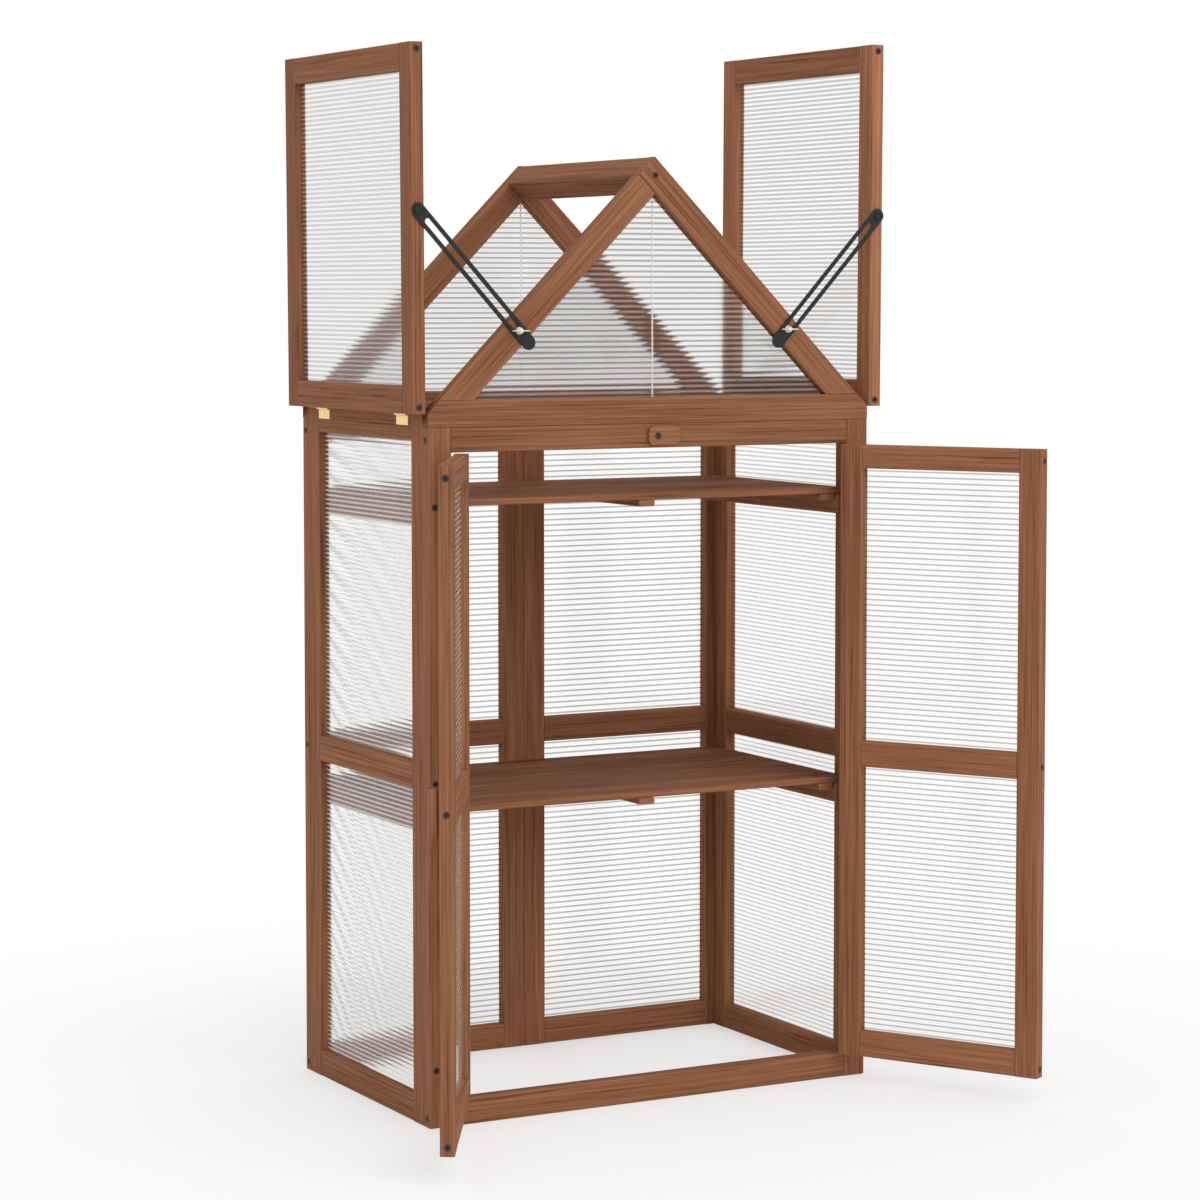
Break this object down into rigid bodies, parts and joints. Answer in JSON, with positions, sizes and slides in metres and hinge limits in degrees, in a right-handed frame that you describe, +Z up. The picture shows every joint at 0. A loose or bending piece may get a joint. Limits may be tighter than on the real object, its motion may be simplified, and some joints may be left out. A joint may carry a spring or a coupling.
{
  "type": "wooden greenhouse",
  "caption": "Upright wooden greenhouse cabinet with a gable roof of hinged panels on slotted stays, framed doors, slatted shelves and clear ribbed sheets in every frame.",
  "frame": {"origin": "middle of the underside of the front bottom rail, on the ground", "axes": "+X to the right seen from the front, +Y from the front to the back, +Z up"},
  "size_m": [1.04, 0.7638, 1.617],
  "materials": {
    "frame_wood": "brown stain, matt",
    "clear_sheet": "clear ribbed polycarbonate",
    "hinge_brass": "bright brass plate",
    "stay_steel": "charcoal powder coat",
    "screw_steel": "dark grey, dull",
    "wing_nut_zinc": "pale zinc plate"
  },
  "bodies": {
    "frame": {"back_gable_panes": "clear_sheet", "back_gable_rafters": "frame_wood", "back_gable_rail": "frame_wood", "back_panes": "clear_sheet", "back_rails": "frame_wood", "back_stiles": "frame_wood", "door_hinge_frame_leaves": "hinge_brass", "frame_screws": "screw_steel", "front_bottom_rail": "frame_wood", "front_gable_panes": "clear_sheet", "front_gable_rafters": "frame_wood", "front_gable_rail": "frame_wood", "front_left_post": "frame_wood", "front_right_post": "frame_wood", "front_top_rail": "frame_wood", "hinge_pins": "hinge_brass", "left_side_panes": "clear_sheet", "left_side_rails": "frame_wood", "left_side_stiles": "frame_wood", "middle_shelf_slats": "frame_wood", "ridge_beam": "frame_wood", "right_side_panes": "clear_sheet", "right_side_rails": "frame_wood", "right_side_stiles": "frame_wood", "roof_hinge_frame_leaves": "hinge_brass", "shelf_battens": "frame_wood", "shelf_bearers": "frame_wood", "turn_button_screw": "screw_steel", "upper_shelf_slats": "frame_wood"},
    "left_door": {"left_door_free_stile": "frame_wood", "left_door_hinge_leaves": "hinge_brass", "left_door_hinge_stile": "frame_wood", "left_door_panes": "clear_sheet", "left_door_pull": "frame_wood", "left_door_rails": "frame_wood", "left_door_screws": "screw_steel"},
    "right_door": {"right_door_free_stile": "frame_wood", "right_door_hinge_leaves": "hinge_brass", "right_door_hinge_stile": "frame_wood", "right_door_panes": "clear_sheet", "right_door_pull": "frame_wood", "right_door_rails": "frame_wood", "right_door_screws": "screw_steel"},
    "left_roof_panel": {"left_roof_hinge_leaves": "hinge_brass", "left_roof_pane": "clear_sheet", "left_roof_rails": "frame_wood", "left_roof_screws": "screw_steel", "left_roof_stay_pivot": "stay_steel", "left_roof_stiles": "frame_wood"},
    "right_roof_panel": {"right_roof_hinge_leaves": "hinge_brass", "right_roof_pane": "clear_sheet", "right_roof_rails": "frame_wood", "right_roof_screws": "screw_steel", "right_roof_stay_pivot": "stay_steel", "right_roof_stiles": "frame_wood"},
    "left_stay_arm": {"left_stay": "stay_steel"},
    "right_stay_arm": {"right_stay": "stay_steel"},
    "left_wing_nut": {"left_wing_nut": "wing_nut_zinc"},
    "right_wing_nut": {"right_wing_nut": "wing_nut_zinc"},
    "turn_button": {"turn_button": "frame_wood"}
  },
  "joints": [
    {"name": "left_door_hinge", "type": "hinge", "parent": "frame", "child": "left_door", "pos_m": [-0.3415, -0.0133, 0.52], "axis": [0, 0, -1], "range_deg": [-120, 55]},
    {"name": "right_door_hinge", "type": "hinge", "parent": "frame", "child": "right_door", "pos_m": [0.3415, -0.0133, 0.52], "axis": [0, 0, 1], "range_deg": [-120, 55]},
    {"name": "left_roof_hinge", "type": "hinge", "parent": "frame", "child": "left_roof_panel", "pos_m": [-0.3828, 0.217, 1.0542], "axis": [0, -1, 0], "range_deg": [-45.35, 0]},
    {"name": "left_stay_pivot", "type": "hinge", "parent": "left_roof_panel", "child": "left_stay_arm", "pos_m": [-0.39562, -0.0105, 1.35213], "axis": [0, -1, 0], "range_deg": [-26.64, 0.5]},
    {"name": "left_wing_nut_slide", "type": "slide", "parent": "left_stay_arm", "child": "left_wing_nut", "axis": [0.6812, 0, -0.7321], "range_m": [-0.13087, 0.0005]},
    {"name": "right_roof_hinge", "type": "hinge", "parent": "frame", "child": "right_roof_panel", "pos_m": [0.3828, 0.217, 1.0542], "axis": [0, 1, 0], "range_deg": [-45.35, 0]},
    {"name": "right_stay_pivot", "type": "hinge", "parent": "right_roof_panel", "child": "right_stay_arm", "pos_m": [0.39562, -0.0105, 1.35213], "axis": [0, 1, 0], "range_deg": [-26.64, 0.5]},
    {"name": "right_wing_nut_slide", "type": "slide", "parent": "right_stay_arm", "child": "right_wing_nut", "axis": [-0.6812, 0, -0.7321], "range_m": [-0.13087, 0.0005]},
    {"name": "turn_button_pivot", "type": "hinge", "parent": "frame", "child": "turn_button", "pos_m": [0.0015, -0.0105, 1.01725], "axis": [0, -1, 0], "continuous": true}
  ],
  "couplings": [
    {"joint": "left_stay_pivot", "follows": "left_roof_hinge", "ratio": 0.57647},
    {"joint": "left_wing_nut_slide", "follows": "left_roof_hinge", "m_per_rad": 0.16471},
    {"joint": "right_stay_pivot", "follows": "right_roof_hinge", "ratio": 0.57647},
    {"joint": "right_wing_nut_slide", "follows": "right_roof_hinge", "m_per_rad": 0.16471}
  ]
}
